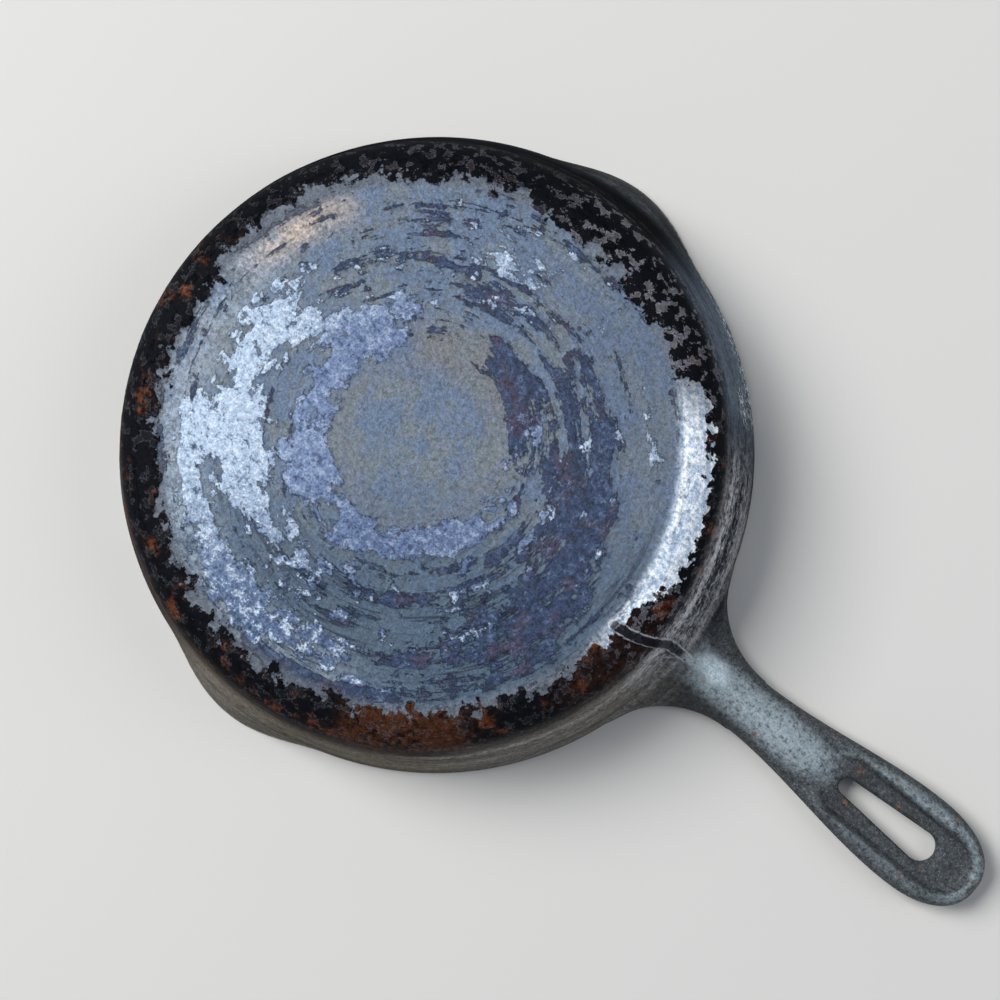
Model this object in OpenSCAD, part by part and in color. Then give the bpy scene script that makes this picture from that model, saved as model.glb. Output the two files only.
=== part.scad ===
// A one-piece cast iron skillet, lying upside down on its rim with its burnt underside up.
// The origin is the centre of the rim circle, in the plane the rim rests on. +Z points up
// through the underside, +X runs along the handle, and the two pouring spouts are at +Y and -Y.
// All sizes are millimetres.

/* [Bowl] */
// Outside radius of the rim
rim_r = 102; // [85:1:140]
// Height from the rim to the flat underside
bowl_h = 43; // [34:1:60]
// How far the wall leans outward from upright, in degrees
wall_lean = 16; // [8:1:22]
// How far the wall bulges outward at the middle of its height
wall_bow = 0.6; // [0:0.1:1.5]
// Radius of the outer corner between the wall and the underside
corner_r = 13; // [8:0.5:16]
// Radius of the inner corner between the wall and the cooking face
inner_corner_r = 9.5; // [6:0.5:14]
// Thickness of the wall
wall_t = 3.4; // [2.6:0.1:5]
// Thickness of the floor
floor_t = 4; // [3:0.1:6]
// Rounding of the rim's two edges
rim_round = 0.8; // [0.3:0.1:1.2]

/* [Pouring spouts] */
// How far each spout stands out beyond the rim
spout_out = 4.8; // [2:0.1:8]
// Half of the angle that a spout covers at the rim, in degrees
spout_half_angle = 14; // [10:0.5:20]
// Height above the rim plane at which the spouts fade into the wall
spout_rise = 24; // [16:1:26]

/* [Handle] */
// Length of the handle beyond the rim
handle_len = 116; // [92:1:150]
// Width of the handle at its neck
neck_w = 18.7; // [14:0.1:24]
// Greatest width of the handle, near its tip
grip_w = 31.3; // [25:0.1:38]
// Length of the rounded tip
tip_len = 24; // [18:0.5:32]
// Radius of the web that joins the neck to the rim on each side
root_fillet = 32; // [22:1:42]
// Clearance between the handle and the surface the rim rests on
handle_lift = 1.5; // [0.5:0.1:5]
// Thickness of the handle below its parting line
lower_t = 2.2; // [1.5:0.1:3]
// Thickness of the handle's thin parts above its parting line
web_t = 2.6; // [2:0.1:4]
// Height of the rounded ridge above the web at the neck
ridge_h = 5; // [2:0.1:7]
// How much higher the ridge rises where it meets the wall
root_rise = 6; // [2:0.5:9]
// Distance from the rim over which the ridge rises to the wall
root_reach = 13; // [8:0.5:18]
// Height of the rails above the recess around the hole
rail_h = 3.4; // [1:0.1:5]
// Width of the rails along the sides of the handle
rail_w = 6.4; // [4:0.1:7]
// Width of the rail around the tip
tip_rail_w = 4.4; // [3:0.1:8]

/* [Hanging hole] */
// Length of the hole
hole_len = 37; // [25:0.5:42]
// Width of the hole's round end at the neck
hole_w_neck = 5.4; // [4.5:0.1:8]
// Width of the hole's round end at the tip
hole_w_tip = 9.8; // [7:0.1:12]
// Distance from the hole to the end of the handle
hole_to_tip = 16.5; // [13:0.5:24]

/* [Rib under the handle] */
// Width of the rib that climbs the wall from the handle, at the rim's radius
rib_w = 5.2; // [3:0.1:9]
// Height of the rib above the wall
rib_h = 1.5; // [0.8:0.1:2.5]
// Radius of the sweep that joins the rib to the ridge
rib_sweep = 14; // [9:0.5:18]

/* [Hidden] */

iron = "#3c454f";

// Steps along curves
corner_steps = 9;
wall_steps = 6;
round_steps = 3;
side_steps = 14;
root_steps = 9;
grip_steps = 20;
tip_steps = 9;
rib_steps = 6;
round_end_steps = 12;

// How far a cutting shape runs past what it cuts, and how deep the rib's foot lies in the ridge
over = 2;
rib_bury = 0.5;

// Where the corners end on the wall, and the radii that follow
corner_z = bowl_h - corner_r + corner_r * sin(wall_lean);
foot_r = rim_r - corner_z * tan(wall_lean) - corner_r * cos(wall_lean);
in_rim_r = rim_r - wall_t / cos(wall_lean);
floor_z = bowl_h - floor_t;
in_corner_z = floor_z - inner_corner_r + inner_corner_r * sin(wall_lean);
in_foot_r = in_rim_r - in_corner_z * tan(wall_lean) - inner_corner_r * cos(wall_lean);

// Each spout is a cone that stands beside the bowl's axis: where, how wide, and how it tapers
nose_r = rim_r + spout_out;
spout_y = (nose_r * nose_r - rim_r * rim_r) / (2 * (nose_r - rim_r * cos(spout_half_angle)));
spout_r = nose_r - spout_y;
spout_taper = (nose_r - wall_r(rim_r, corner_z, spout_rise)) / spout_rise;
spout_top = spout_rise + 4;
spout_wall = wall_t * norm([1, spout_taper]);

// The handle's plan: each web is an arc that touches the rim's circle and the neck
neck_half = neck_w / 2;
grip_half = grip_w / 2;
web_y = neck_half + root_fillet;
web_d = rim_r + root_fillet;
web_x = sqrt(web_d * web_d - web_y * web_y);
root_angle = atan2(web_y, web_x);
neck_d = norm([web_x, neck_half]);
tip_d = rim_r + handle_len;
wide_d = tip_d - tip_len;
root_d = rim_r - wall_t * 1.5;
root_sink = wall_t / 2;
nose = 0.995;

// Superellipse powers of the tip's outline and of the handle's upper and lower sides
tip_power = 2.3;
upper_power = 4;
lower_power = 6;

// Half widths of the ridge and of its shoulders, next to the neck's
ridge_spread = 1.15;
shoulder_spread = 1.9;

// The hole and the recess around it
recess_margin = 5.5;
hole_end = tip_d - hole_to_tip;
hole_tip_x = hole_end - hole_w_tip / 2;
hole_neck_x = hole_end - hole_len + hole_w_neck / 2;
recess_start = hole_neck_x - hole_w_neck / 2 - recess_margin;
recess_end = tip_d - tip_rail_w;
recess_slope = 3;
fork_len = 30;

function bump(t) = abs(t) < 1 ? (1 - t * t) * (1 - t * t) : 0;
function ease(t) = let (u = min(1, max(0, t))) u * u * (3 - 2 * u);

// Radius of the wall's outer or inner skin at height z, below the corners
function wall_r(r0, top_z, z) =
    r0 - z * tan(wall_lean) + wall_bow * 4 * (z / top_z) * (1 - z / top_z);

// Points [radius, height] down a skin, from where its corner ends to just above the rim
function skin(r0, top_z) =
    [for (i = [0:wall_steps])
        let (z = top_z + (rim_round - top_z) * i / wall_steps)
        [wall_r(r0, top_z, z), z]];

// The round of a corner, from the flat to the wall
function corner(r0, top_z, r) =
    [for (i = [0:corner_steps - 1])
        let (b = 90 - (90 - wall_lean) * i / corner_steps)
        [r0 + r * cos(b), top_z - r + r * sin(b)]];

// The rounded edge of the rim: side is -1 on the outside and 1 on the inside
function rim_edge(r, side) =
    [for (i = [1:round_steps])
        let (b = 90 * i / round_steps)
        [r + side * rim_round * (1 - cos(b)), rim_round * (1 - sin(b))]];

// A solid skinned over closed rings of points. Each ring runs along its upper side and back
// along its lower side, with side_steps steps each way.
module skinned(rings) {
    n = 2 * side_steps;
    last = (len(rings) - 1) * n;
    sides = [for (j = [0:len(rings) - 2], i = [0:n - 1])
        let (k = (i + 1) % n, a = j * n, b = a + n)
        each [[a + i, a + k, b + k], [a + i, b + k, b + i]]];
    ends = [for (i = [0:side_steps - 1])
        let (far = (n - i) % n, near = n - i - 1)
        each [[i, near, i + 1], [i, far, near], [last + i, last + i + 1, last + near],
            [last + i, last + near, last + far]]];
    whole = [for (f = concat(sides, ends)) if (f[0] != f[1] && f[1] != f[2] && f[0] != f[2]) f];
    polyhedron(points = [for (ring = rings) each ring], faces = whole, convexity = 6);
}

// The bowl as if it were solid: underside, corner, wall and the rim's outer edge
module bowl_outside() {
    rotate_extrude($fn = 180)
        polygon(concat(
            [[0, 0], [0, bowl_h]],
            corner(foot_r, bowl_h, corner_r),
            skin(rim_r, corner_z),
            rim_edge(wall_r(rim_r, corner_z, rim_round), -1)));
}

// The space inside the bowl, run out past the rim
module bowl_inside() {
    in_r = wall_r(in_rim_r, in_corner_z, rim_round);
    rotate_extrude($fn = 180)
        polygon(concat(
            [[0, -over], [0, floor_z]],
            corner(in_foot_r, floor_z, inner_corner_r),
            skin(in_rim_r, in_corner_z),
            rim_edge(in_r, 1),
            [[in_r + rim_round, -over]]));
}

// One spout, outside and inside, at the +Y side
module spout_outside() {
    r = spout_r - spout_taper * rim_round;
    translate([0, spout_y, 0])
        rotate_extrude($fn = 120)
            polygon(concat(
                [[0, 0], [0, spout_top], [spout_r - spout_taper * spout_top, spout_top], [r, rim_round]],
                rim_edge(r, -1)));
}
module spout_inside() {
    r = spout_r - spout_wall - spout_taper * rim_round;
    translate([0, spout_y, 0])
        rotate_extrude($fn = 120)
            polygon(concat(
                [[0, -over], [0, spout_top],
                    [spout_r - spout_wall - spout_taper * spout_top, spout_top], [r, rim_round]],
                rim_edge(r, 1),
                [[r + rim_round, -over]]));
}

// Half of the handle's width at a distance from the bowl's centre, and half of its angle there
function handle_half_w(d) =
    d < wide_d
        ? neck_half + (grip_half - neck_half) * (1 - cos(180 * (d - neck_d) / (wide_d - neck_d))) / 2
        : grip_half * pow(1 - pow((d - wide_d) / tip_len, tip_power), 1 / tip_power);
function handle_half_angle(d) =
    d < neck_d
        ? root_angle - acos(min(1, (d * d + web_d * web_d - root_fillet * root_fillet) / (2 * d * web_d)))
        : asin(handle_half_w(d) / d);

// How deep the recess around the hole is at [d, y], from 0 to 1
function recess(d, y) =
    let (half = grip_half - rail_w,
         near = recess_start + half,
         far = recess_end - half,
         across = d < near ? norm([near - d, y])
                : d > far ? norm([(d - far) * half / (recess_end - far), y]) : abs(y))
    ease((half + recess_slope / 2 - across) / recess_slope);

// Height of the handle's upper side above its parting line
function handle_top(d, y) =
    let (fade = ease((recess_start + fork_len / 2 - d) / fork_len),
         rise = root_rise * pow(max(0, 1 - (d - rim_r) / root_reach), 2),
         ridge = (ridge_h + rise) * fade * bump(y / (neck_half * ridge_spread)),
         rails = rail_h * (1 - fade) * (1 - recess(d, y)),
         shoulder = rail_h / 2 * fade * bump(y / (neck_half * shoulder_spread)))
    web_t + max(ridge + shoulder, rails);

// How the handle's thickness rounds off towards its sides, where t is -1 and 1
function side_round(t, power) = pow(max(0, 1 - pow(abs(t), power)), 1 / power);

// A point of the handle at distance d, angle a and height z. The first ring is sunk in the wall.
function handle_point(d, a, z) =
    let (r = d < rim_r ? wall_r(rim_r, corner_z, z) - root_sink : d)
    [r * cos(a), r * sin(a), z];

// One ring of points around the handle
function handle_ring(d) =
    let (half = handle_half_angle(d), mid = handle_lift + lower_t)
    concat(
        [for (i = [0:side_steps])
            let (t = sin(180 * i / side_steps - 90), a = half * t)
            handle_point(d, a, mid + handle_top(d, d * sin(a)) * side_round(t, upper_power))],
        [for (i = [1:side_steps - 1])
            let (t = sin(90 - 180 * i / side_steps))
            handle_point(d, half * t, mid - lower_t * side_round(t, lower_power))]);

module handle_body() {
    first_d = rim_r + rim_round;
    stops = concat(
        [root_d],
        [for (i = [0:root_steps - 1]) first_d + (neck_d - first_d) * pow(i / root_steps, 1.3)],
        [for (i = [0:grip_steps - 1]) neck_d + (wide_d - neck_d) * i / grip_steps],
        [for (i = [0:tip_steps]) wide_d + tip_len * nose * sin(90 * i / tip_steps)]);
    skinned([for (d = stops) handle_ring(d)]);
}

// The hole the pan is hung by: two round ends and straight sides that widen to the tip
module hanging_hole() {
    neck_r = hole_w_neck / 2;
    tip_r = hole_w_tip / 2;
    lean = asin((tip_r - neck_r) / (hole_tip_x - hole_neck_x));
    translate([0, 0, -over])
        linear_extrude(bowl_h + 2 * over)
            polygon(concat(
                [for (i = [0:round_end_steps])
                    let (b = 90 + lean + (180 - 2 * lean) * i / round_end_steps)
                    [hole_neck_x + neck_r * cos(b), neck_r * sin(b)]],
                [for (i = [0:round_end_steps])
                    let (b = -90 - lean + (180 + 2 * lean) * i / round_end_steps)
                    [hole_tip_x + tip_r * cos(b), tip_r * sin(b)]]));
}

// The rib: it starts at the edge of the underside, follows the corner and the wall down,
// and sweeps out into the ridge along the handle
module rib() {
    half = asin(rib_w / 2 / rim_r);
    core = wall_t / 2;
    base_z = handle_lift + lower_t + web_t;
    ridge_z = base_z + ridge_h - rib_bury;
    foot = [rim_r + rib_sweep, ridge_z];
    bend = [rim_r, ridge_z];
    on_wall = [wall_r(rim_r, corner_z, ridge_z + rib_sweep) + rib_h, ridge_z + rib_sweep];
    edge = [for (p = corner(foot_r, bowl_h, corner_r + rib_h))
        if (p[0] > foot_r + core) [p[0], p[1] - rib_h / 2]];
    sweep = [for (i = [0:rib_steps])
        let (u = i / rib_steps)
        on_wall * (1 - u) * (1 - u) + bend * 2 * u * (1 - u) + foot * u * u];
    inside = [[foot[0], base_z], [rim_r - core, base_z],
        [wall_r(rim_r, corner_z, corner_z) - core, corner_z], [foot_r + core, bowl_h - core]];
    rotate([0, 0, -half])
        rotate_extrude(angle = 2 * half, $fn = 180)
            polygon(concat(edge, sweep, inside));
}

module pan() {
    color(iron)
        difference() {
            union() {
                bowl_outside();
                for (side = [0, 180]) rotate([0, 0, side]) spout_outside();
                handle_body();
                rib();
            }
            bowl_inside();
            for (side = [0, 180]) rotate([0, 0, side]) spout_inside();
            hanging_hole();
        }
}

pan();
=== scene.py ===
import math

import bmesh
import bpy
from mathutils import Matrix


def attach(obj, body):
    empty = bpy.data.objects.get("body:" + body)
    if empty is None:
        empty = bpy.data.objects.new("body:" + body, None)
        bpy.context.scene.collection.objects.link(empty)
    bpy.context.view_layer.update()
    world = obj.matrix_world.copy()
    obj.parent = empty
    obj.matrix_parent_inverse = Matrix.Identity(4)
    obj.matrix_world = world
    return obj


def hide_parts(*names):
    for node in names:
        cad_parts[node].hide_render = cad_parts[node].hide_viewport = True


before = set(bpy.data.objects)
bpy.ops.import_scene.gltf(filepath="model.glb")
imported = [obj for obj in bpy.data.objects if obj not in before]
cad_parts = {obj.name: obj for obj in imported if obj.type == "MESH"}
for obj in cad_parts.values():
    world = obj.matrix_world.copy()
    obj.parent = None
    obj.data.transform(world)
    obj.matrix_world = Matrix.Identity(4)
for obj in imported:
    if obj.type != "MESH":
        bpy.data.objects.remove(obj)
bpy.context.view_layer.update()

# The bowl: the round body of a cast iron skillet that lies upside down on its rim. It is
# poured in sand in one piece with its handle, and never machined on the underside. It is
# made here by spinning its profile, at 1 unit to the millimetre, and ends up in metres.
rim_r = 102
bowl_h = 43
wall_lean = math.radians(16)
wall_bow = 0.6
wall_t = 3.4
floor_t = 4
corner_r = 13
inner_corner_r = 9.5
rim_round = 0.8
segments = 576
step_angle = 2 * math.pi / segments
corner_steps = 16
inner_corner_steps = 8
inner_rows = 9
merge_gap = 0.001
floor_z = bowl_h - floor_t
corner_z = bowl_h - corner_r * (1 - math.sin(wall_lean))
foot_r = rim_r - corner_z * math.tan(wall_lean) - corner_r * math.cos(wall_lean)
in_rim_r = rim_r - wall_t / math.cos(wall_lean)
in_corner_z = floor_z - inner_corner_r * (1 - math.sin(wall_lean))
in_foot_r = in_rim_r - in_corner_z * math.tan(wall_lean) - inner_corner_r * math.cos(wall_lean)

# The band of the wall that the handle grows out of, below and above the mould's parting line
parting_z = 3.7
web_t = 2.6
lower_t = 2.2
upper_rows = 28
band_low = parting_z - lower_t
band_high = parting_z + web_t


def skin_r(radius, top, z):
    """Radius of the wall's outer or inner skin at height z. It works on numbers and on wires."""
    share = z * (1 / top)
    return radius - z * math.tan(wall_lean) + share * (1 - share) * (4 * wall_bow)


def corner_line(radius, top, bend, steps):
    """Points (radius, height) round a corner, from the flat down to the wall."""
    turn = math.pi / 2 - wall_lean
    sweep = [math.pi / 2 - turn * i / steps for i in range(steps)]
    return [(radius + bend * math.cos(a), top - bend + bend * math.sin(a)) for a in sweep]


def skin_line(radius, top, heights):
    """Points (radius, height) on the wall at the given heights."""
    return [(skin_r(radius, top, z), z) for z in heights]


def edge_line(radius, side, steps=3):
    """Points round one edge of the rim, from the wall to the plane it stands on."""
    sweep = [math.pi / 2 * i / steps for i in range(1, steps + 1)]
    return [
        (radius + side * rim_round * (1 - math.cos(a)), rim_round * (1 - math.sin(a)))
        for a in sweep
    ]


wall_heights = [corner_z + (band_high - corner_z) * i / upper_rows for i in range(upper_rows)]
band_heights = [
    band_high,
    parting_z + web_t / 2,
    parting_z,
    parting_z - lower_t / 2,
    band_low,
]
inner_heights = [
    rim_round + (in_corner_z - rim_round) * i / inner_rows for i in range(inner_rows + 1)
]
inner_floor_rings = [62, 40, 18, 0]
outer_lip = skin_r(rim_r, corner_z, rim_round)
inner_lip = skin_r(in_rim_r, in_corner_z, rim_round)
profile = (
    corner_line(foot_r, bowl_h, corner_r, corner_steps)
    + skin_line(rim_r, corner_z, wall_heights + band_heights + [rim_round])
    + edge_line(outer_lip, -1)
    + edge_line(inner_lip, 1)[::-1]
    + skin_line(in_rim_r, in_corner_z, inner_heights)
    + corner_line(in_foot_r, floor_z, inner_corner_r, inner_corner_steps)[::-1]
    + [(r, floor_z) for r in inner_floor_rings]
)

bpy.ops.object.select_all(action="DESELECT")
start_r, start_z = profile[0]
bpy.ops.mesh.primitive_plane_add(size=1, location=(start_r, 0, start_z))
pan = bpy.context.object
pan.name = "pan_casting"
bpy.ops.object.transform_apply(location=True)
bpy.ops.object.mode_set(mode="EDIT")
bpy.ops.mesh.merge(type="CENTER")
for (r, z), (next_r, next_z) in zip(profile, profile[1:]):
    stretch = (next_r - r, 0, next_z - z)
    bpy.ops.mesh.extrude_vertices_move(TRANSFORM_OT_translate={"value": stretch})
bpy.ops.mesh.select_all(action="SELECT")
bpy.ops.mesh.spin(steps=segments, angle=2 * math.pi, center=(0, 0, 0), axis=(0, 0, 1))
bpy.ops.mesh.select_all(action="SELECT")
bpy.ops.mesh.remove_doubles(threshold=merge_gap)


def choose(piece, kind, test):
    """Selects the faces or edges of a mesh in edit mode that pass a test of their place."""
    mesh = bmesh.from_edit_mesh(piece.data)
    bpy.ops.mesh.select_all(action="DESELECT")
    bpy.context.tool_settings.mesh_select_mode = (False, kind == "edges", kind == "faces")
    for part in getattr(mesh, kind):
        corners = [vertex.co for vertex in part.verts]
        place = sum(corners[1:], corners[0]) / len(corners)
        if test(part, place):
            part.select_set(True)
    mesh.select_flush_mode()
    bmesh.update_edit_mesh(piece.data)


# The flat underside is closed with an even grid, dense enough to carry the relief of the crust
slack = 0.05
choose(pan, "edges", lambda edge, place: edge.is_boundary and place.z > bowl_h - slack)
bpy.ops.mesh.fill_grid(span=segments // 4)

# The blank of the handle: one tongue of the same casting, 116 mm long. The faces of the band
# are parted from the wall and drawn out in steps along the bowl's radius, closer together
# at the hole's round ends and at the tip.
handle_len = 116
tip_len = 24
hole_len = 37
hole_neck_r = 2.7
hole_tip_r = 4.9
hole_to_tip = 16.5
tip_d = rim_r + handle_len
wide_d = tip_d - tip_len
hole_end = tip_d - hole_to_tip
hole_start = hole_end - hole_len
hole_neck_x = hole_start + hole_neck_r
hole_tip_x = hole_end - hole_tip_r
root_columns = 29
root_angle = root_columns * step_angle
root_step = 1.1
hole_steps = 27
round_steps = 7
tip_steps = 15
tip_gap = 0.12


def spread(low, high, steps):
    """Even steps from low to high, without low itself."""
    return [low + (high - low) * (i + 1) / steps for i in range(steps)]


quarter = spread(0, math.pi / 2, round_steps)
tip_quarter = spread(0, math.pi / 2, tip_steps)
stations = (
    spread(rim_r, hole_start, round((hole_start - rim_r) / root_step))
    + [hole_start + hole_neck_r * (1 - math.cos(a)) for a in quarter]
    + spread(hole_neck_x, hole_tip_x, hole_steps)
    + [hole_tip_x + hole_tip_r * math.sin(a) for a in quarter]
    + [hole_end + (hole_to_tip - tip_gap) * math.sin(a) for a in tip_quarter]
)


def in_band(face, place):
    """True for the outer faces of the wall that the handle grows out of."""
    angle = math.atan2(place.y, place.x)
    outer = math.hypot(place.x, place.y) > in_rim_r
    return outer and abs(angle) < root_angle and band_low < place.z < band_high


choose(pan, "faces", in_band)
bpy.ops.mesh.separate(type="SELECTED")
bpy.ops.object.mode_set(mode="OBJECT")
handle = [piece for piece in bpy.context.selected_objects if piece is not pan][0]
bpy.ops.object.select_all(action="DESELECT")
bpy.context.view_layer.objects.active = handle
handle.select_set(True)
bpy.ops.object.mode_set(mode="EDIT")
bpy.ops.mesh.select_all(action="SELECT")
reach = rim_r
for station in stations:
    grow = station / reach
    bpy.ops.mesh.extrude_region_move()
    bpy.ops.transform.resize(value=(grow, grow, 1), center_override=(0, 0, 0))
    reach = station

# The hanging hole: cast right through the handle's end, to hang the pan on a hook. It starts
# as a slot two columns wide in the blank, whose sides step down from level to level.
slot_edge_gap = 1
level_normal = 0.5
join_gap = 0.02


def drawn_out(place):
    """How far along the handle a point of its blank is, from the bowl's centre."""
    return rim_r * math.hypot(place.x, place.y) / skin_r(rim_r, corner_z, place.z)


def in_slot(face, place):
    """True for the faces of the blank's two sides that lie over the hole."""
    level = abs(face.normal.z) > level_normal
    middle = abs(place.y) < place.x * math.sin(step_angle)
    return level and middle and hole_start < drawn_out(place) < hole_end


def in_start(face, place):
    """True for the faces that stayed behind where the blank joins the wall."""
    return abs(face.normal.dot(place)) > rim_r / 2 and drawn_out(place) < rim_r + slack


def on_slot_edge(edge, place):
    """True for the open edges round the slot in the blank's upper side."""
    raised = place.z > band_high - slack
    return edge.is_boundary and raised and drawn_out(place) > hole_start - slot_edge_gap


choose(handle, "faces", lambda face, place: in_slot(face, place) or in_start(face, place))
bpy.ops.mesh.delete(type="FACE")
choose(handle, "edges", on_slot_edge)
for level, next_level in zip(band_heights, band_heights[1:]):
    drop = (0, 0, next_level - level)
    shrink = skin_r(rim_r, corner_z, next_level) / skin_r(rim_r, corner_z, level)
    bpy.ops.mesh.extrude_region_move(TRANSFORM_OT_translate={"value": drop})
    bpy.ops.transform.resize(value=(shrink, shrink, 1), center_override=(0, 0, 0))
bpy.ops.object.mode_set(mode="OBJECT")
pan.select_set(True)
bpy.context.view_layer.objects.active = pan
bpy.ops.object.join()
bpy.ops.object.mode_set(mode="EDIT")
bpy.ops.mesh.select_all(action="SELECT")
bpy.ops.mesh.remove_doubles(threshold=join_gap)

# Finer faces where the rib and the handle's root will stand on the wall
fine_angle = 9 * step_angle
outward = 0.1


def near_rib(face, place):
    """True for the faces of the outer wall that the rib climbs."""
    angle = math.atan2(place.y, place.x)
    outer = math.hypot(place.x, place.y) > foot_r and face.normal.x > outward
    return outer and abs(angle) < fine_angle and place.z > band_high


bpy.ops.mesh.normals_make_consistent(inside=False)
choose(pan, "faces", near_rib)
bpy.ops.mesh.subdivide(number_cuts=1)
bpy.ops.object.mode_set(mode="OBJECT")


class Wire:
    """A socket of a node tree. Arithmetic on wires adds the Math nodes that work it out."""

    def __init__(self, socket):
        self.socket = socket

    def add(self, kind, settings, sockets, output=0):
        """Adds any node: its settings first, then the values or links of its sockets."""
        node = self.socket.id_data.nodes.new(kind)
        for name, value in settings.items():
            setattr(node, name, value)
        for key, value in sockets.items():
            if isinstance(value, Wire):
                node.id_data.links.new(value.socket, node.inputs[key])
            else:
                node.inputs[key].default_value = value
        return Wire(node.outputs[output])

    def math(self, operation, *values):
        """Adds a Math node that works on the given values."""
        sockets = dict(enumerate(values))
        return self.add("ShaderNodeMath", {"operation": operation}, sockets)

    def __add__(self, other):
        return self.math("ADD", self, other)

    def __radd__(self, other):
        return self.math("ADD", other, self)

    def __sub__(self, other):
        return self.math("SUBTRACT", self, other)

    def __rsub__(self, other):
        return self.math("SUBTRACT", other, self)

    def __mul__(self, other):
        return self.math("MULTIPLY", self, other)

    def __rmul__(self, other):
        return self.math("MULTIPLY", other, self)

    def __truediv__(self, other):
        return self.math("DIVIDE", self, other)

    def __rtruediv__(self, other):
        return self.math("DIVIDE", other, self)

    def __pow__(self, power):
        return self.math("POWER", self, power)

    def __neg__(self):
        return self.math("MULTIPLY", self, -1)

    def __abs__(self):
        return self.math("ABSOLUTE", self)

    def __lt__(self, other):
        return self.math("LESS_THAN", self, other)

    def __gt__(self, other):
        return self.math("GREATER_THAN", self, other)

    def sqrt(self):
        return self.math("SQRT", self)

    def sine(self):
        return self.math("SINE", self)

    def arc_sine(self):
        return self.math("ARCSINE", self)

    def arc_cosine(self):
        return self.math("ARCCOSINE", self)

    def sign(self):
        return self.math("SIGN", self)

    def at_least(self, low):
        return self.math("MAXIMUM", self, low)

    def at_most(self, high):
        return self.math("MINIMUM", self, high)

    def ease(self, low, high):
        """A smooth rise from 0 at low to 1 at high."""
        kind = {"interpolation_type": "SMOOTHSTEP"}
        sockets = {"Value": self, "From Min": low, "From Max": high}
        return self.add("ShaderNodeMapRange", kind, sockets)

    def parts(self):
        """The three numbers of a vector."""
        first = self.add("ShaderNodeSeparateXYZ", {}, {0: self})
        outputs = first.socket.node.outputs
        return first, Wire(outputs[1]), Wire(outputs[2])

    def vector(self, x, y, z):
        """A vector of three numbers."""
        return self.add("ShaderNodeCombineXYZ", {}, {0: x, 1: y, 2: z})


def pick(test, yes, no):
    """One of two values, by a test that is 0 or 1."""
    return test * (yes - no) + no


def hump(share):
    """1 in the middle, falling smoothly to 0 where share is -1 or 1."""
    return (1 - share * share).at_least(0) ** 2


# The handle's shape: a ridge near the bowl forks into two rails round a dish, and webs sweep
# it into the wall. It is cast with the bowl. The blank's points are moved to this form, where
# d is the distance from the bowl's centre along the handle and y the distance from its middle.
neck_half = 9.35
grip_half = 15.65
root_fillet = 32
web_y = neck_half + root_fillet
web_d = rim_r + root_fillet
neck_d = math.hypot(math.sqrt(web_d ** 2 - web_y ** 2), neck_half)
ridge_h = 5
ridge_spread = neck_half * 1.15
shoulder_spread = neck_half * 1.9
rail_h = 3.4
rail_w = 6.4
tip_rail_w = 4.4
tip_power = 2.3
section_power = 4.5
recess_half = grip_half - rail_w
recess_start = hole_start - 5.5
recess_near = recess_start + recess_half
recess_far = tip_d - tip_rail_w - recess_half
recess_slope = 3
fork_half = 15


def half_width(d):
    """Half of the handle's width at distance d from the bowl's centre."""
    chord = (d * d + (web_d ** 2 - root_fillet ** 2)) / (d * (2 * web_d))
    web = d * (root_angle - chord.at_most(1).arc_cosine()).sine()
    grip_share = (d - neck_d) / (wide_d - neck_d)
    grip = neck_half + (grip_half - neck_half) * grip_share.ease(0, 1)
    tip_share = ((d - wide_d) / tip_len).at_least(0)
    tip = grip_half * (1 - tip_share ** tip_power) ** (1 / tip_power)
    return pick(d < neck_d, web, pick(d < wide_d, grip, tip))


def recess(d, y):
    """How deep the dish around the hole is, from 0 to 1."""
    lead = (recess_near - d).at_least(0)
    trail = (d - recess_far).at_least(0) * (recess_half / (tip_d - tip_rail_w - recess_far))
    across = (lead * lead + trail * trail + y * y).sqrt()
    return 1 - across.ease(recess_half - recess_slope / 2, recess_half + recess_slope / 2)


def handle_top(d, y):
    """Height of the handle's upper side above its parting line."""
    fork = 1 - d.ease(recess_start - fork_half, recess_start + fork_half)
    ridge = ridge_h * fork * hump(y / ridge_spread)
    shoulder = rail_h / 2 * fork * hump(y / shoulder_spread)
    rails = rail_h * (1 - fork) * (1 - recess(d, y))
    return (ridge + shoulder).at_least(rails) + web_t


def hole_edge(d, y):
    """Distance to the edge of the hanging hole."""
    share = ((d - hole_neck_x) / (hole_tip_x - hole_neck_x)).at_least(0).at_most(1)
    along = d - hole_neck_x - share * (hole_tip_x - hole_neck_x)
    return (along * along + y * y).sqrt() - hole_neck_r - share * (hole_tip_r - hole_neck_r)


def hole_half(d):
    """Half of the hanging hole's width at distance d from the bowl's centre."""
    neck_end = (hole_neck_r ** 2 - (d - hole_neck_x) * (d - hole_neck_x)).sqrt()
    tip_end = (hole_tip_r ** 2 - (d - hole_tip_x) * (d - hole_tip_x)).sqrt()
    flare_rate = (hole_tip_r - hole_neck_r) / (hole_tip_x - hole_neck_x)
    flare = (d - hole_neck_x) * flare_rate + hole_neck_r
    return pick(d < hole_neck_x, neck_end, pick(d > hole_tip_x, tip_end, flare))


# How the handle meets the wall, and the two pouring spouts
ridge_sweep_r = 9.5
ridge_sweep_spread = 2.3
web_sweep_r = 4
root_blend = 30
root_blend_power = 1.5
root_climb = 24
ridge_climb_power = 0.6
square_len = 9
soft_tip_len = 7
edge_round = 0.9
edge_reach = 1.6
spout_out = 4.8
spout_rise = 25
spout_half_angle = math.radians(18.5)
spout_narrowing = 0.35
spout_fade_power = 1.25
slot_side = math.sin(step_angle) / math.sin(root_angle)
side_slack = 0.001
tiny = 0.0001


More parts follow.
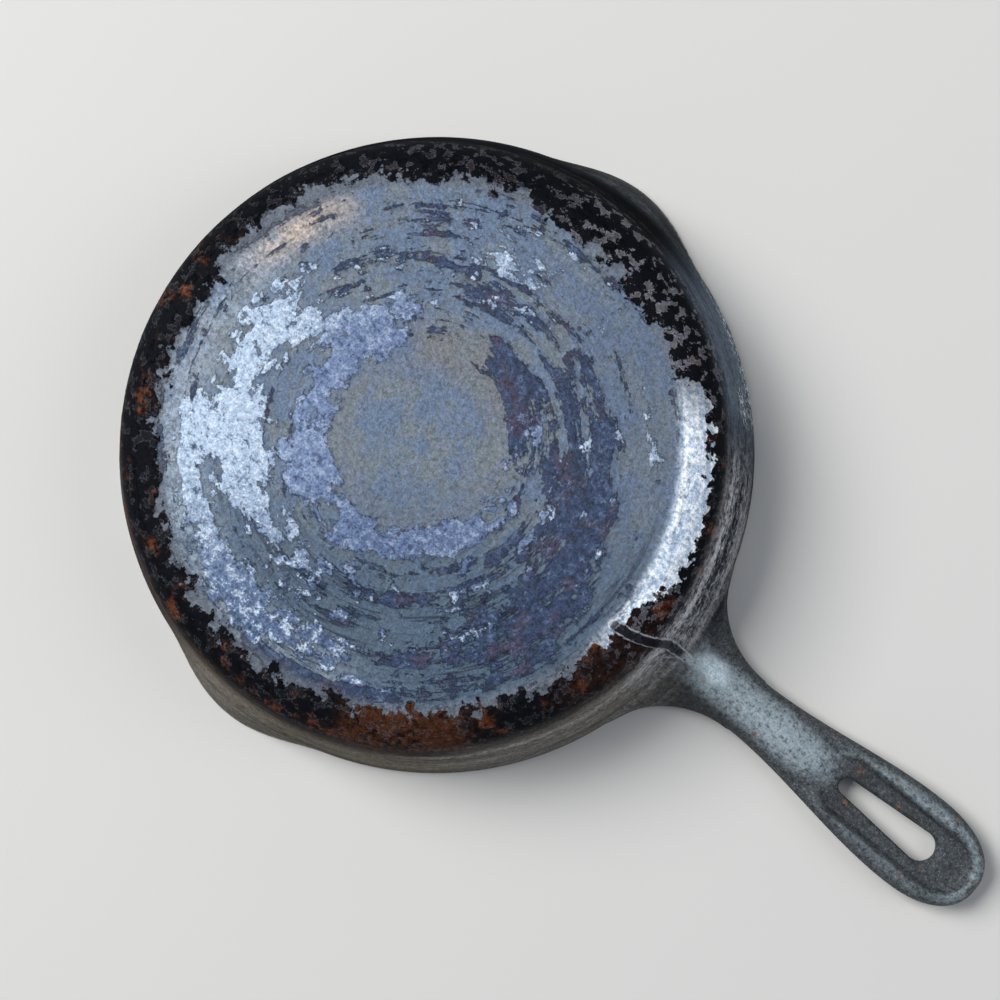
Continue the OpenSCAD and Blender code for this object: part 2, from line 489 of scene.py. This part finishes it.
def root_sweep(side):
    """Radius of the sweep from the handle up to the wall: wide at the ridge, small at the webs."""
    webs = web_sweep_r * (1 - side * side).at_least(0)
    return ridge_sweep_r * hump(side * ridge_sweep_spread) + webs


def handle_form(d, y, z, side):
    """The handle's own section at distance d, with the slot opened to the hole's outline."""
    above = z > parting_z
    level = (z - parting_z) / pick(above, web_t, lower_t)
    away = abs(side)
    biggest = away.at_least(abs(level))
    square = (away ** section_power + abs(level) ** section_power) ** (1 / section_power)
    rounded = biggest / square.at_least(tiny)
    settled = d.ease(rim_r, rim_r + square_len)
    squeeze = 1 + (rounded - 1) * settled
    half = half_width(d)
    opening = hole_half(d).at_least(half * slot_side)
    beside = opening + (away - slot_side) / (1 - slot_side) * (half - opening)
    within = away / slot_side * opening
    handle_y = pick(away < slot_side - side_slack, within, beside) * squeeze
    soft_start = tip_d - soft_tip_len
    soft_tip = 1 - edge_round * ((d - soft_start) / soft_tip_len).at_least(0) ** 4
    soft_edge = edge_round * (1 - hole_edge(d, handle_y) / edge_reach).at_least(0) ** 2
    top = handle_top(d, handle_y) - soft_edge
    bottom = lower_t - soft_edge
    height = level * squeeze * pick(above, top, bottom) * soft_tip.sqrt()
    root_shift = skin_r(rim_r, corner_z, parting_z + top) - rim_r + root_sweep(side)
    root_fade = (1 - (d - rim_r) / root_blend).at_least(0) ** root_blend_power
    shifted = d + root_shift * root_fade * (level + 1) / 2
    handle_x = (shifted * shifted - handle_y * handle_y).sqrt()
    return handle_x, handle_y * y.sign(), parting_z + height


def root_form(d, z, sine, side):
    """The wall above the handle, which sweeps out to meet it."""
    root_top = band_high + root_climb
    at_wall = d * 0 + rim_r
    ridge_z = parting_z + handle_top(at_wall, sine * rim_r)
    climb = ((z - band_high) / (root_top - band_high)).at_least(0).at_most(1)
    middle = (1 - side * side).at_least(0)
    wall_z = ridge_z + (root_top - ridge_z) * climb ** (1 + ridge_climb_power * middle)
    sweep = root_sweep(side)
    left = (sweep - (wall_z - ridge_z)).at_least(0)
    bend = (sweep * sweep - left * left).at_least(0).sqrt()
    sweep_r = skin_r(rim_r, corner_z, wall_z) + sweep - bend
    top_r = skin_r(rim_r, corner_z, root_top)
    wall_y = sine * (rim_r + (top_r - rim_r) * climb)
    wall_x = (sweep_r * sweep_r - wall_y * wall_y).sqrt()
    return wall_x, wall_y, wall_z


def spout_swell(x, r, z):
    """How much the wall swells out where a spout is: it fades upwards and to both sides."""
    lift = (z / spout_rise).at_least(0).at_most(1)
    turn = abs(x / r).arc_sine()
    bell = hump(turn / (spout_half_angle * (1 - spout_narrowing * lift)))
    fade = (1 - lift) ** spout_fade_power * (1 + spout_narrowing * lift)
    return 1 + spout_out * bell * fade / r


def cast_form(place, normal):
    """Moves a point of the blank to the form of the casting."""
    x, y, z = place.parts()
    r = (x * x + y * y).sqrt()
    sine = y / r
    side = sine * (1 / math.sin(root_angle))
    wall = skin_r(rim_r, corner_z, z)
    d = rim_r * r / wall
    in_band_z = (z > band_low - slack) * (z < band_high + slack)
    on_handle = (d > rim_r - slack) * in_band_z * (abs(side) < 1 + side_slack) * (x > 0)
    above_band = (z > band_high + slack) * (z < band_high + root_climb)
    on_root = (r > wall - wall_t / 2) * above_band * (abs(side) < 1) * (x > 0)
    swell = spout_swell(x, r, z)
    forms = zip(handle_form(d, y, z, side), root_form(d, z, sine, side), (x * swell, y * swell, z))
    moved = [pick(on_handle, grip, pick(on_root, root, bowl)) for grip, root, bowl in forms]
    return place.vector(*moved)


def shape_with(piece, name, make):
    """Moves every point of a piece to make(place, normal), by a modifier that is then applied."""
    tree = bpy.data.node_groups.new(name, "GeometryNodeTree")
    tree.interface.new_socket("Geometry", in_out="INPUT", socket_type="NodeSocketGeometry")
    tree.interface.new_socket("Geometry", in_out="OUTPUT", socket_type="NodeSocketGeometry")
    source = Wire(tree.nodes.new("NodeGroupInput").outputs[0])
    place = source.add("GeometryNodeInputPosition", {}, {})
    normal = source.add("GeometryNodeInputNormal", {}, {})
    sockets = {"Geometry": source, "Position": make(place, normal)}
    moved = source.add("GeometryNodeSetPosition", {}, sockets)
    tree.links.new(moved.socket, tree.nodes.new("NodeGroupOutput").inputs[0])
    modifier = piece.modifiers.new(name, "NODES")
    modifier.node_group = tree
    bpy.ops.object.modifier_apply(modifier=name)


shape_with(pan, "cast_form", cast_form)


def noise(place, size, detail=4, roughness=0.55, distortion=0):
    """Cloudy noise from 0 to 1, with features about size across."""
    return place.add("ShaderNodeTexNoise", {}, {
        "Vector": place,
        "Scale": 1 / size,
        "Detail": detail,
        "Roughness": roughness,
        "Distortion": distortion,
    })


def add_up(values):
    """The sum of a list of wires."""
    total = values[0]
    for value in values[1:]:
        total = total + value
    return total


# The burnt crust: fat and soot baked on to the iron, thin on the flat underside, where its pale
# blue is partly a painted reflection, and thick and black over the corner, up to 0.7 mm proud.
# The rib is part of the casting: it climbs from the handle to the edge of the underside and
# stiffens the root.
turns_round = 60
arc_softness = 9
least_r = 0.01


class Spot:
    """A place on the casting, in the ways that the burnt finish is laid out by."""

    def __init__(self, place):
        self.place = place
        self.x, self.y, self.z = place.parts()
        self.r = (self.x * self.x + self.y * self.y).sqrt().at_least(least_r)
        out = self.r - foot_r
        down = bowl_h - self.z
        # How far past the edge of the flat underside, measured down over the corner
        self.past = pick(out > 0, (out * out + down * down).sqrt(), out)

    def ring_place(self, along, across):
        """Coordinates that draw a noise out along circles round the underside."""
        turn = turns_round / along
        return self.place.vector(self.x / self.r * turn, self.y / self.r * turn, self.r / across)

    def facing(self, angle, spread, soft=arc_softness):
        """1 in a sector that reaches spread degrees on both sides of angle."""
        a = math.radians(angle)
        cosine = self.x / self.r * math.cos(a) + self.y / self.r * math.sin(a)
        low = math.cos(math.radians(spread + soft))
        high = math.cos(math.radians(max(spread - soft, 0)))
        return cosine.ease(low, high)

    def arc(self, angle, spread, radius, depth):
        """A soft patch on the underside that follows a circle."""
        return self.facing(angle, spread) * hump((self.r - radius) / depth)

    def laid_in(self, patches):
        """The sum of arcs, each given as angle, spread, radius, depth and strength."""
        return add_up([self.arc(*patch) * strength for *patch, strength in patches])


# Where the crust was laid: angle, spread, radius, depth and strength of each arc
pale_patches = [
    (200, 34, 58, 15, 0.17),
    (236, 30, 71, 9, 0.2),
    (268, 20, 68, 10, 0.15),
    (238, 34, 50, 13, 0.14),
    (190, 50, 33, 9, 0.2),
    (146, 24, 39, 12, 0.2),
    (92, 36, 36, 13, -0.22),
    (250, 34, 33, 10, 0.17),
    (305, 40, 30, 9, 0.19),
    (345, 26, 29, 7, 0.1),
    (172, 34, 72, 9, -0.16),
    (30, 60, 60, 24, -0.04),
]
navy_patches = [
    (62, 32, 33, 11, 0.19),
    (44, 28, 48, 13, 0.15),
    (24, 24, 57, 11, 0.15),
    (106, 26, 52, 10, 0.15),
    (66, 22, 62, 10, -0.08),
    (8, 26, 40, 10, 0.13),
    (354, 30, 56, 14, 0.13),
    (328, 26, 64, 12, 0.13),
    (300, 40, 70, 10, 0.08),
    (290, 40, 50, 12, 0.06),
    (284, 12, 78, 4, 0.35),
]
# Where the corner stayed bare: angle, spread, softness and how far down over it, in millimetres
bare_lobes = [
    (29, 21, 6, 8.5),
    (343, 14, arc_softness, 2),
    (262, 16, arc_softness, 1.5),
    (157, 16, arc_softness, 3),
    (80, 16, arc_softness, -1.5),
]
pale_level = 0.1
pale_streaks = 0.8
navy_level = 0.11
navy_streaks = 1.1
flake_share = 0.9
bare_centre = 0.4
corner_level = 0.02
corner_start = -0.2
corner_rate = 0.1
lace_share = 2


def pale_crust(spot, soft):
    """Crust left in broken arcs on the flat underside, pale blue partly by a painted reflection."""
    streaks = noise(spot.ring_place(26, 5), 1, 7, 0.66) - 0.5
    flakes = noise(spot.place, 6, 9, 0.7, 0.3) - 0.5
    centre = (1 - spot.r.ease(17, 27)) * bare_centre
    value = streaks * pale_streaks + flakes * flake_share + spot.laid_in(pale_patches) - centre
    value = value - spot.r.ease(70, 80) * 0.1
    return value.ease(pale_level - soft, pale_level + soft)


def navy_crust(spot, soft):
    """Dark navy and purple crust, in streaks on the other side of the underside."""
    streaks = noise(spot.ring_place(34, 4), 1, 7, 0.68) - 0.5
    flakes = noise(spot.place, 6, 9, 0.72, 0.2) - 0.5
    centre = (1 - spot.r.ease(20, 30)) * bare_centre
    value = streaks * navy_streaks + flakes * flake_share + spot.laid_in(navy_patches) - centre
    return value.ease(navy_level - soft, navy_level + soft)


def corner_crust(spot, soft):
    """The thick black crust that hangs over the corner, with a lace-like edge on the underside."""
    lace = noise(spot.place, 5, 3, 0.6)
    far = add_up([spot.facing(*lobe) * reach for *lobe, reach in bare_lobes])
    value = (spot.past - corner_start - far) * corner_rate + (lace - 0.5) * lace_share
    return value.ease(corner_level - soft, corner_level + soft) * (1 - spot.r.ease(103, 108))


# The rib's line swings to one side of the handle's middle as it climbs
rib_offset = 5.2
rib_half = 0.8
rib_foot_half = 2.4
rib_swing_end = 24
rib_start = -3
rib_fade_start = 26
rib_fade_end = 44
rib_chips = 1.2


def rib_share(spot):
    """1 on the rib, which climbs from the handle to the underside, with its chipped edges."""
    away = abs(spot.y + rib_offset * (1 - spot.past.ease(0, rib_swing_end)))
    faded = 1 - spot.past.ease(rib_fade_start, rib_fade_end)
    along = spot.past.ease(rib_start, 0) * faded * (spot.x > 0)
    chipped = (noise(spot.place, 2.5, 4) - 0.5) * rib_chips
    return (1 - (away + chipped).ease(rib_half, rib_foot_half)) * along


# Heights of the relief, in millimetres
crust_t = 0.3
corner_crust_t = 0.35
pebble_h = 0.9
swell_h = 0.5
turning_h = 0.35
crust_most = 0.7
rib_h = 0.8
rib_corner_h = 1.1
lift_most = 1.1


def crust_relief(place, normal):
    """Raises the crust and the rib off the casting."""
    spot = Spot(place)
    facing_out = normal.parts()[2].ease(0.05, 0.2)
    on_outside = facing_out * spot.z.ease(2, 8) * (1 - spot.r.ease(104, 110))
    crusted = (pale_crust(spot, 0.03) + navy_crust(spot, 0.03)).at_most(1)
    crusted = crusted * (1 - spot.r.ease(76, 82))
    pebbles = (noise(place, 3, 3) - 0.5) * pebble_h
    corner = corner_crust(spot, 0.12) * (1 - spot.past.ease(14, 26))
    height = crusted * (pebbles + crust_t) + corner * (pebbles + corner_crust_t)
    height = height + (noise(place, 28, 2) - 0.5) * swell_h
    height = height + (noise(spot.ring_place(60, 4), 1, 3) - 0.5) * turning_h
    on_corner = spot.past.ease(0, 7)
    rib = rib_share(spot) * (on_corner * rib_corner_h + rib_h)
    lift = (height.at_most(crust_most) + rib).at_most(on_corner + lift_most) * on_outside
    size = place.vector(lift, lift, lift)
    moved = place.add("ShaderNodeVectorMath", {"operation": "MULTIPLY"}, {0: normal, 1: size})
    return place.add("ShaderNodeVectorMath", {"operation": "ADD"}, {0: place, 1: moved})


shape_with(pan, "crust_relief", crust_relief)
metres = 0.001
crease = math.radians(60)
bpy.ops.object.mode_set(mode="EDIT")
bpy.ops.mesh.select_all(action="SELECT")
bpy.ops.transform.resize(value=(metres, metres, metres), center_override=(0, 0, 0))
bpy.ops.object.mode_set(mode="OBJECT")
bpy.ops.object.shade_smooth_by_angle(angle=crease)

# The burnt finish: bare iron with an ash film in the middle, pale crust on the left, navy crust
# on the right, black crust with rust over the corner, a wall that browned and took soot, and
# a handle that stayed gunmetal, all with painted highlights, reflections and shade laid on.
# The inside, which the pan lies on, is plain and seasoned.


def shade(red, green, blue):
    """A colour written as it is seen, from 0 to 255, for a shader."""
    seen = [value / 255 for value in (red, green, blue)]
    light = [v / 12.92 if v < 0.04045 else ((v + 0.055) / 1.055) ** 2.4 for v in seen]
    return light + [1]


def tint(factor, low, high):
    """Mixes two colours, or colours and wires."""
    return factor.add("ShaderNodeMix", {"data_type": "RGBA"}, {0: factor, 6: low, 7: high}, 2)


burnt_iron = bpy.data.materials.new("burnt_iron")
burnt_iron.use_nodes = True
nodes = burnt_iron.node_tree.nodes
surface = nodes["Principled BSDF"]
iron_coat = Wire(surface.outputs[0])
in_metres = iron_coat.add("ShaderNodeTexCoord", {}, {}, "Object")
place = in_metres.add("ShaderNodeVectorMath", {"operation": "SCALE"}, {0: in_metres, 3: 1 / metres})
spot = Spot(place)
pale = pale_crust(spot, 0.015)
navy = navy_crust(spot, 0.03) * (1 - pale)
black = corner_crust(spot, 0.04)

# Noises by the size of their features, from grain of 0.6 mm to clouds of 20 mm, and two more
# that are drawn out along circles
grain = noise(place, 0.6, 3, 0.65)
gravel = noise(place, 1.6, 5, 0.68)
lumps = noise(place, 3.4, 5, 0.6)
blotch = noise(place, 9, 5, 0.6)
ragged = noise(place, 10, 9, 0.74)
cloud = noise(place, 20, 6, 0.6)
streak = noise(spot.ring_place(36, 2.4), 1, 7, 0.68)
polish = noise(spot.ring_place(50, 2), 1, 7, 0.7)


def broken(base, by, share):
    """A noise or distance whose outline is broken up by a finer noise."""
    return base + (by - 0.5) * share


# The sides where light and shade are painted, as they lie when the handle points to the lower
# right: a painted reflection lightens the left, and painted shade darkens the lower side
tilt = math.radians(39.2)
right = spot.x * math.cos(tilt) + spot.y * math.sin(tilt)
upward = spot.y * math.cos(tilt) - spot.x * math.sin(tilt)
lit_left_side = (-right - upward * 0.1).ease(5, 60)
shaded_low_side = (-upward - right * 0.1).ease(0, 55)
ring = 1 - spot.r.ease(38, 50)
on_wall = spot.past.ease(11, 22)
off_wall = 1 - on_wall
on_handle = spot.r.ease(98, 112)
off_handle = 1 - on_handle

# Bare iron with a thin film of ash, taupe round the centre, and a painted pale sheen near the edge
# on the left
film = broken(broken(ragged, streak, 0.3), gravel, 0.3).ease(0.42, 0.56)
iron = tint(film, shade(111, 121, 130), shade(99, 116, 141))
# Painted shade: the bare iron turns darker and bluer towards the lower side and the right
iron = tint(shaded_low_side * 0.85, iron, shade(70, 90, 110))
iron = tint(right.ease(25, 65) * 0.35, iron, shade(84, 98, 120))
# Painted reflection: a pale sheen on the iron near the left edge
left_sheen = lit_left_side * spot.r.ease(60, 71) * broken(blotch, gravel, 0.6).ease(0.3, 0.6)
iron = tint(left_sheen * 0.62, iron, shade(156, 168, 182))
taupe = hump((spot.r - 31) / 10) * spot.facing(92, 36) + hump((spot.r - 24) / 6) * 0.35
taupe = taupe * broken(ragged, gravel, 0.3).ease(0.38, 0.46)
iron = tint(taupe.at_most(1) * 0.75, iron, shade(118, 117, 119))
tan_tint = spot.arc(159, 10, 74, 8) * broken(cloud, gravel, 0.5).ease(0.35, 0.6)
iron = tint(tan_tint * 0.72, iron, shade(206, 184, 166))
turning_marks = broken(streak, gravel, 0.15).ease(0.55, 0.6) * spot.r.ease(34, 50)
iron = tint(turning_marks * (0.1 + 0.75 * shaded_low_side), iron, shade(34, 44, 62))

# Crust: sky blue on the left, blue-violet round the centre, navy and purple on the right. Its
# blue is partly a painted reflection, lighter on the left and darker low down and on the right
# by painted shade, with painted highlights on its pebbles and painted shade between them.
pebbly = lumps * 0.5 + gravel * 0.35 + grain * 0.15
pale_crust_lit = tint(ring * 0.9, shade(200, 222, 247), shade(126, 148, 190))
pale_crust_lit = tint(shaded_low_side * 0.9, pale_crust_lit, shade(72, 98, 140))
pale_crust_lit = tint((1 - lit_left_side) * 0.45, pale_crust_lit, shade(90, 108, 146))
# Painted highlights on the pebbles, then painted shade in the gaps between them
pale_crust_lit = tint(pebbly.ease(0.49, 0.6) * (0.85 - 0.55 * ring), pale_crust_lit, shade(216, 232, 250))
pale_crust_lit = tint((1 - pebbly.ease(0.37, 0.49)) * 0.9, pale_crust_lit, shade(56, 78, 114))
# Navy and purple crust, partly painted shade, with painted shade between its pebbles and painted
# highlights on them
navy_crust_shaded = tint(blotch.ease(0.52, 0.6) * 0.8, shade(48, 64, 98), shade(72, 60, 84))
navy_crust_shaded = tint((1 - pebbly.ease(0.4, 0.5)) * 0.7, navy_crust_shaded, shade(26, 32, 50))
navy_crust_shaded = tint(pebbly.ease(0.5, 0.62) * 0.7, navy_crust_shaded, shade(100, 118, 148))
underside = tint(navy * 0.9, iron, navy_crust_shaded)
underside = tint(pale, underside, pale_crust_lit)

# Wall: satin iron that the fire blackened at the top left and browned at the bottom. It is lighter
# grey-brown low on the right, partly its colour and partly a painted reflection of the floor.
wall = tint(spot.facing(122, 48), shade(98, 110, 124), shade(5, 8, 16))
wall = tint(spot.facing(185, 38), wall, shade(10, 10, 12))
brown_glow = (spot.facing(235, 24) + spot.facing(265, 24)).at_most(1)
brown_glow = brown_glow * (1 - spot.past.ease(24, 44))
wall = tint(brown_glow * broken(blotch, gravel, 0.5).ease(0.34, 0.62), wall, shade(94, 66, 42))
wall = tint(spot.facing(280, 50) * 0.9, wall, shade(60, 53, 50))
wall = tint(spot.facing(292, 34) * spot.past.ease(16, 30), wall, shade(122, 116, 105))
wall = tint(spot.facing(340, 24), wall, shade(124, 121, 116))
wall = tint(spot.facing(20, 20) * 0.85, wall, shade(48, 49, 54))
# Pale streaks round the wall: partly wear, partly a painted sheen
wear_sheen_side = (spot.facing(340, 32) + spot.facing(10, 20) * 0.7 + 0.15).at_most(1)
wear_sheen_streaks = (polish * 0.8 + gravel * 0.2).ease(0.5, 0.66) * wear_sheen_side
wall = tint(wear_sheen_streaks * 0.8, wall, shade(172, 168, 164))
wall = tint((1 - polish.ease(0.36, 0.5)) * 0.5, wall, shade(18, 18, 20))
# A near-white streaked patch on the wall beside the handle
pale_wall_streaks = (polish * 0.4 + lumps * 0.3 + gravel * 0.3).ease(0.42, 0.58)
wall = tint(spot.arc(14, 20, 95, 9) * pale_wall_streaks * 0.95, wall, shade(206, 208, 214))
# A pale edge along the rim, partly wear and partly a painted glint
rim_wear_glint = (1 - spot.z.ease(1, 2.6)) * (spot.facing(250, 34) + spot.facing(66, 20)).at_most(1)
wall = tint(rim_wear_glint * (gravel + blotch * 0.5).ease(0.6, 0.85), wall, shade(214, 208, 198))
# Near-white specks on the rim and the wall, partly chips and partly painted glints
rim_chip_glints = spot.facing(57, 8) * (1 - spot.z.ease(4, 11))
wall_chip_glints = spot.facing(47, 3, 2) * hump((spot.z - 14) / 6)
chip_glints = (rim_chip_glints + wall_chip_glints).at_most(1) * (gravel * 0.6 + grain * 0.4).ease(0.5, 0.58)
wall = tint(chip_glints, wall, shade(226, 232, 236))

# Black crust on the corner, with rust, loose grey flakes and their pale outlines
rust = broken(blotch, gravel, 0.4).ease(0.54, 0.66)
crust_black = tint(rust * (1 - spot.facing(110, 60)), shade(9, 11, 18), shade(54, 33, 25))
rust_core = broken(blotch, gravel, 0.3).ease(0.6, 0.68) * (1 - spot.facing(100, 60))
crust_black = tint(rust_core * 0.8, crust_black, shade(104, 58, 34))
rust_block = (spot.facing(306, 12, 4) + spot.facing(350, 10, 5) * 0.3).at_most(1)
rust_block = rust_block * broken(blotch, gravel, 1.2).ease(0.3, 0.56)
crust_black = tint(rust_block, crust_black, shade(74, 44, 29))
flaked = add_up([
    spot.facing(70, 22) * 0.8,
    spot.facing(115, 30) * 0.12,
    spot.facing(3, 9, 4) * 0.5,
]) + 0.06
flaked = flaked.at_most(1)
flakes = broken(lumps, grain, 0.25).ease(0.53, 0.58) * flaked
crust_black = tint(flakes, crust_black, tint(rust, shade(108, 107, 114), shade(106, 80, 74)))
outline = hump((broken(lumps, grain, 0.1) - 0.575) / 0.022)
crust_black = tint(outline * (0.14 + 0.5 * flaked), crust_black, shade(150, 152, 162))

# Where the crust broke off the corner the iron is bare, with a painted bright highlight on it that
# is strongest towards the handle
glint_streaks = (gravel * 0.5 + polish * 0.5).ease(0.42, 0.58)
highlit_iron = tint(glint_streaks, shade(182, 204, 232), shade(244, 249, 254))
bare_corner_lit = tint(spot.facing(20, 26), shade(94, 102, 114), highlit_iron)
under_crust = tint(spot.past.ease(-3.5, 0.5), underside, bare_corner_lit)
under_crust = tint(on_wall, under_crust, wall)
finish = tint(black, under_crust, tint(on_wall, crust_black, wall))
crust_edge = hump((black - 0.5) / 0.5) * off_wall
finish = tint(crust_edge * 0.35, finish, shade(150, 160, 172))

# Handle: gunmetal, lighter where it stands high by wear from hands and a painted highlight, with
# painted shade low in its dish and on one side, and a fine light speckle
# Painted highlight by height: the ridge and rail tops lighter, the dish darker
high = broken(broken(spot.z, gravel, 3), blotch, 2).ease(7.2, 11.4)
# The painted highlight is weaker on the side towards negative y, as painted shade there
high = high * (1 - 0.55 * (-spot.y).ease(3, 11))
gunmetal = tint(high, shade(66, 71, 75), shade(150, 164, 172))
gunmetal = tint(grain.ease(0.5, 0.7) * 0.3, gunmetal, shade(150, 158, 162))
gunmetal = tint(broken(cloud, blotch, 0.6).ease(0.5, 0.66) * 0.5, gunmetal, shade(52, 54, 56))
gunmetal = tint((1 - gravel.ease(0.36, 0.46)) * 0.5, gunmetal, shade(34, 38, 42))
# Painted shade on the web near the root, on the side towards negative y
shaded_web = broken(-spot.y, blotch, 6).ease(2, 9) * (1 - spot.r.ease(122, 150))
gunmetal = tint(shaded_web * 0.6, gunmetal, shade(36, 38, 41))
rust_spots = noise(place, 4, 4, 0.65).ease(0.63, 0.7)
gunmetal = tint(rust_spots * 0.7, gunmetal, shade(132, 96, 58))
finish = tint(on_handle, finish, gunmetal)
# A painted highlight on the handle's root
along_root = spot.x - 111
across_root = spot.y - 2
off_root = (along_root * along_root * 0.3 + across_root * across_root).sqrt()
root_highlight = 1 - broken(broken(off_root, blotch, 8), gravel, 8).ease(2, 4.5)
finish = tint(root_highlight * spot.z.ease(5, 8) * 0.75, finish, shade(206, 224, 234))

# The rib: painted shade along its top, with a broken painted highlight down each edge
ribbed = rib_share(spot)
rib_line = hump((ribbed - 0.45) / 0.35)
rib_highlight_line = rib_line * 0.7 * (gravel + blotch * 0.3).ease(0.5, 0.64)
finish = tint(ribbed * 0.85, finish, shade(26, 30, 38))
finish = tint(rib_highlight_line, finish, shade(208, 216, 224))

# The inside: a plain seasoned cooking surface. Fine flecks then go over everything.
facing_up = place.add("ShaderNodeTexCoord", {}, {}, "Normal").parts()[2]
inside = (1 - facing_up.ease(-0.2, 0)) * off_handle
seasoned = tint(cloud.ease(0.4, 0.62), shade(30, 30, 32), shade(46, 42, 40))
finish = tint(inside, finish, seasoned)
fleck = broken(broken(0.94, grain, 1.6), gravel, 1.7)
flecks = place.vector(fleck, fleck, fleck)
multiply = {"data_type": "RGBA", "blend_type": "MULTIPLY"}
finish = place.add("ShaderNodeMix", multiply, {0: 1.0, 6: finish, 7: flecks}, 2)

# How metallic and how rough it is, and the fine relief in millimetres that the mesh leaves out
crust_metal = 0.1
bare_metal = 0.2
handle_metal = 0.35
plain_rough = 0.42
pale_polish = 0.08
wall_rough = 0.2
grain_rough = 0.3
iron_gloss = 0.3
grain_h = 0.05
gravel_h = 0.1
crust_gravel_h = 0.35
rib_line_h = 0.1
metal = (bare_metal * (1 - pale) + crust_metal) * (1 - black) * off_wall * off_handle
metal = metal + on_handle * handle_metal
rough = plain_rough - pale_polish * pale + wall_rough * on_wall
rough = broken(rough, grain, grain_rough)
grain_relief = grain * (grain_h + grain_h * off_handle)
crust_share = (off_wall + pale + navy) * off_handle
gravel_relief = gravel * (gravel_h + crust_gravel_h * crust_share)
layers = add_up([
    pale * 0.35,
    navy * 0.15,
    black * 0.35,
    streak * 0.2,
    ragged * 0.4,
    blotch * 0.3,
])
relief = grain_relief + gravel_relief + layers * off_handle * off_wall + rib_line * rib_line_h
bump = {"Height": relief * metres, "Distance": 1.0, "Strength": 1.0}
bumped = place.add("ShaderNodeBump", {}, bump)
surface.inputs["Specular IOR Level"].default_value = iron_gloss
join = burnt_iron.node_tree.links.new
join(finish.socket, surface.inputs["Base Color"])
join(metal.socket, surface.inputs["Metallic"])
join(rough.socket, surface.inputs["Roughness"])
join(bumped.socket, surface.inputs["Normal"])

# Soot: the wall and the black crust hardly shine, even seen along their surface
soot_rough = 0.9
wall_soot = 0.9
crust_soot = 0.85
soot_coat = place.add("ShaderNodeBsdfPrincipled", {}, {
    "Base Color": finish,
    "Roughness": soot_rough,
    "Specular IOR Level": 0,
    "Normal": bumped,
})
sooty = (on_wall * wall_soot * off_handle + black * off_wall * crust_soot).at_most(1)
coated = place.add("ShaderNodeMixShader", {}, {0: sooty, 1: iron_coat, 2: soot_coat})
join(coated.socket, nodes["Material Output"].inputs["Surface"])
pan.data.materials.clear()
pan.data.materials.append(burnt_iron)

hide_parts("pan")
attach(pan, "root")

# The floor: a plain pale studio floor that the pan lies on. Far from the pan it fades to the
# tone of the backdrop, so that no edge of it shows.
floor_size = 12
floor_rough = 0.9
floor_gloss = 0.1
fade_start = 0.4
fade_end = 1.1
backdrop_grey = shade(217, 217, 215)


def sees_backdrop(wire):
    """1 for the rays that see the backdrop, in the tree of a wire: all but the diffuse ones."""
    kinds = ["Is Camera Ray", "Is Glossy Ray", "Is Transmission Ray"]
    rays = [wire.add("ShaderNodeLightPath", {}, {}, kind) for kind in kinds]
    return add_up(rays).at_most(1)


bpy.ops.object.select_all(action="DESELECT")
bpy.ops.mesh.primitive_plane_add(size=floor_size)
floor = bpy.context.object
floor.name = "floor"
floor_paint = bpy.data.materials.new("floor_paint")
floor_paint.use_nodes = True
floor_tree = floor_paint.node_tree
floor_surface = floor_tree.nodes["Principled BSDF"]
floor_surface.inputs["Base Color"].default_value = shade(228, 226, 221)
floor_surface.inputs["Roughness"].default_value = floor_rough
floor_surface.inputs["Specular IOR Level"].default_value = floor_gloss
near = Wire(floor_surface.outputs[0])
on_floor = near.add("ShaderNodeTexCoord", {}, {}, "Object")
floor_x, floor_y, _ = on_floor.parts()
far_off = (floor_x * floor_x + floor_y * floor_y).sqrt().ease(fade_start, fade_end)
glow = on_floor.add("ShaderNodeEmission", {}, {"Color": backdrop_grey})
fade = far_off * sees_backdrop(near)
faded = near.add("ShaderNodeMixShader", {}, {0: fade, 1: near, 2: glow})
floor_tree.links.new(faded.socket, floor_tree.nodes["Material Output"].inputs["Surface"])
floor.data.materials.append(floor_paint)

# The light: a large soft box high on the left, a small one on the right for the corner's
# edge, and the even light of a studio, a little darker and bluer overhead.
aim = (0, 0, 0.02)


def add_lamp(name, place, size_x, size_y, watts):
    """A soft box that points at the pan."""
    data = bpy.data.lights.new(name, "AREA")
    data.shape = "RECTANGLE"
    data.size = size_x
    data.size_y = size_y
    data.energy = watts
    lamp = bpy.data.objects.new(name, data)
    bpy.context.scene.collection.objects.link(lamp)
    lamp.location = place
    away = lamp.location - type(lamp.location)(aim)
    lamp.rotation_euler = away.to_track_quat("Z", "Y").to_euler()


add_lamp("key_lamp", place=(-1.45, -0.235, 1.64), size_x=1.3, size_y=1.3, watts=49)
add_lamp("side_lamp", place=(0.75, 0.61, 0.85), size_x=0.35, size_y=0.9, watts=2.6)

world = bpy.data.worlds.new("studio")
bpy.context.scene.world = world
world.use_nodes = True
backdrop = world.node_tree.nodes["Background"]
look = Wire(backdrop.outputs[0]).add("ShaderNodeTexCoord", {}, {}, "Generated")
height = look.parts()[2]
low_light = 0.08
high_light = 0.45
overhead = height.ease(low_light, high_light)
studio_light = tint(overhead, shade(196, 196, 194), shade(98, 106, 120))
shown = tint(sees_backdrop(look), studio_light, backdrop_grey)
world.node_tree.links.new(shown.socket, backdrop.inputs["Color"])

# The camera looks down on the pan from nearly overhead, with the handle at the lower right
camera_data = bpy.data.cameras.new("camera")
camera_data.lens = 72
camera_data.shift_x = -0.07
camera_data.shift_y = 0.044
camera = bpy.data.objects.new("camera", camera_data)
bpy.context.scene.collection.objects.link(camera)
camera.location = (0.0869, 0.0117, 0.6362)
camera.rotation_euler = (math.radians(1.49), math.radians(2.86), math.radians(38.91))
bpy.context.scene.camera = camera
bpy.context.scene.view_settings.view_transform = "Standard"
